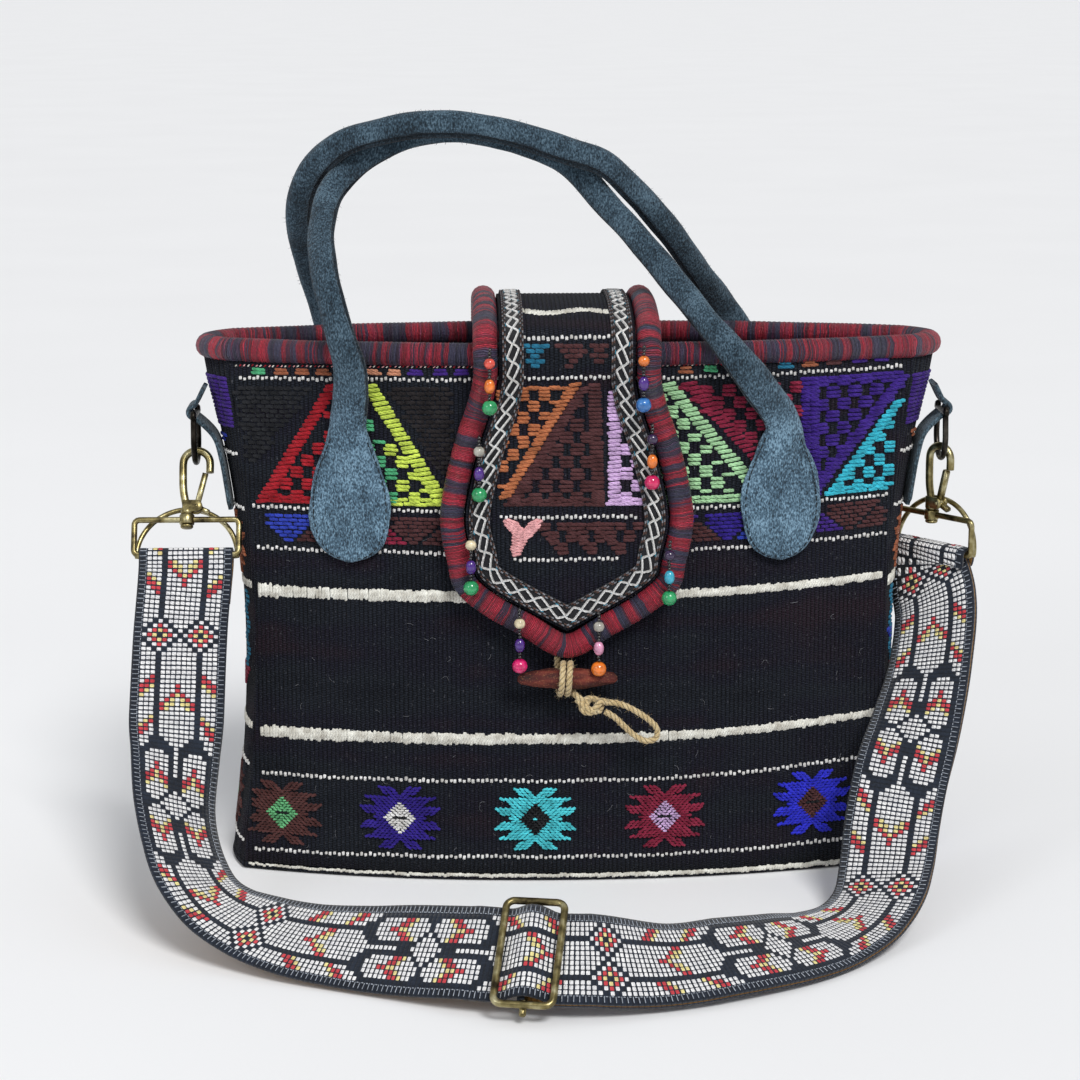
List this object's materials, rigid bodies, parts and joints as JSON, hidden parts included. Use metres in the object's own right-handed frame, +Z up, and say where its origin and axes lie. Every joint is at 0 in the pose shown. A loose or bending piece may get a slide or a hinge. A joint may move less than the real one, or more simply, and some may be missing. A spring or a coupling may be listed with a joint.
{
  "type": "tote bag",
  "caption": "Woven kilim tote bag with a beaded fold-over flap and toggle, two rolled suede handles and a clip-on patterned webbing shoulder strap.",
  "frame": {"origin": "middle of the underside of the base panel", "axes": "+X to the right seen from the front, +Y to the back, +Z up"},
  "size_m": [0.4508, 0.3218, 0.4051],
  "materials": {
    "kilim": "weft-faced wool with embroidered bands",
    "suede": "napped suede",
    "lining": "napped suede",
    "yarn": "wrapped variegated yarn",
    "ribbon": "woven zigzag ribbon",
    "webbing": "patterned jacquard webbing",
    "antique_brass": "antique brass plating",
    "gunmetal": "dark plated wire",
    "toggle_wood": "speckled, polished",
    "jute": "twisted jute",
    "beads": "glossy painted beads"
  },
  "bodies": {
    "bag": {"front_panel": "kilim", "back_panel": "kilim", "left_gusset": "kilim", "right_gusset": "kilim", "base_panel": "kilim", "flap_panel": "kilim", "front_handle": "suede", "back_handle": "suede", "left_tab": "suede", "right_tab": "suede", "suede_lining": "lining", "flap_lining": "lining", "rim_piping": "yarn", "flap_piping": "yarn", "flap_trim": "ribbon", "shoulder_strap": "webbing", "left_swivel_loop": "antique_brass", "right_swivel_loop": "antique_brass", "slider_frame": "antique_brass", "slider_bar": "antique_brass", "toggle": "toggle_wood", "closure_wrap": "jute", "closure_knot": "jute", "closure_loop": "jute", "bead_strand_left_top": "beads", "bead_strand_left_middle": "beads", "bead_strand_left_low": "beads", "bead_strand_point_left": "beads", "bead_strand_point_right": "beads", "bead_strand_right_top": "beads", "bead_strand_right_middle": "beads", "bead_strand_right_low": "beads"},
    "left_ring": {"left_ring": "gunmetal"},
    "left_hook": {"left_hook_body": "antique_brass", "left_gate_pin": "antique_brass"},
    "left_gate": {"left_hook_gate": "antique_brass"},
    "left_d_ring": {"left_d_ring": "antique_brass"},
    "right_ring": {"right_ring": "gunmetal"},
    "right_hook": {"right_hook_body": "antique_brass", "right_gate_pin": "antique_brass"},
    "right_gate": {"right_hook_gate": "antique_brass"},
    "right_d_ring": {"right_d_ring": "antique_brass"}
  },
  "joints": [
    {"name": "left_ring_swing", "type": "hinge", "parent": "bag", "child": "left_ring", "pos_m": [-0.19922, -0.008, 0.247], "axis": [0, 1, 0], "range_deg": [-4, 4]},
    {"name": "left_hook_swivel", "type": "hinge", "parent": "bag", "child": "left_hook", "pos_m": [-0.20382, -0.02307, 0.19066], "axis": [0, 0.4695, 0.8829], "range_deg": [-12, 8]},
    {"name": "left_gate_hinge", "type": "hinge", "parent": "left_hook", "child": "left_gate", "pos_m": [-0.19882, -0.01978, 0.19684], "axis": [0, 0.8829, -0.4695], "range_deg": [-18, 0], "stiffness_Nm_per_rad": 0.02, "springref_deg": 17.19},
    {"name": "left_d_ring_hinge", "type": "hinge", "parent": "bag", "child": "left_d_ring", "pos_m": [-0.20382, -0.02872, 0.17214], "axis": [1, 0, 0], "range_deg": [-30, 0]},
    {"name": "right_ring_swing", "type": "hinge", "parent": "bag", "child": "right_ring", "pos_m": [0.19922, -0.008, 0.247], "axis": [0, 1, 0], "range_deg": [-1, 1]},
    {"name": "right_hook_swivel", "type": "hinge", "parent": "bag", "child": "right_hook", "pos_m": [0.19627, -0.00448, 0.1869], "axis": [0, 0, 1], "range_deg": [0, 15]},
    {"name": "right_gate_hinge", "type": "hinge", "parent": "right_hook", "child": "right_gate", "pos_m": [0.19948, -0.00831, 0.1939], "axis": [0.766, 0.6428, 0], "range_deg": [-18, 0], "stiffness_Nm_per_rad": 0.02, "springref_deg": 17.19},
    {"name": "right_d_ring_hinge", "type": "hinge", "parent": "bag", "child": "right_d_ring", "pos_m": [0.1991, -0.0021, 0.1679], "axis": [0.6428, -0.766, 0], "range_deg": [-30, 0]}
  ]
}
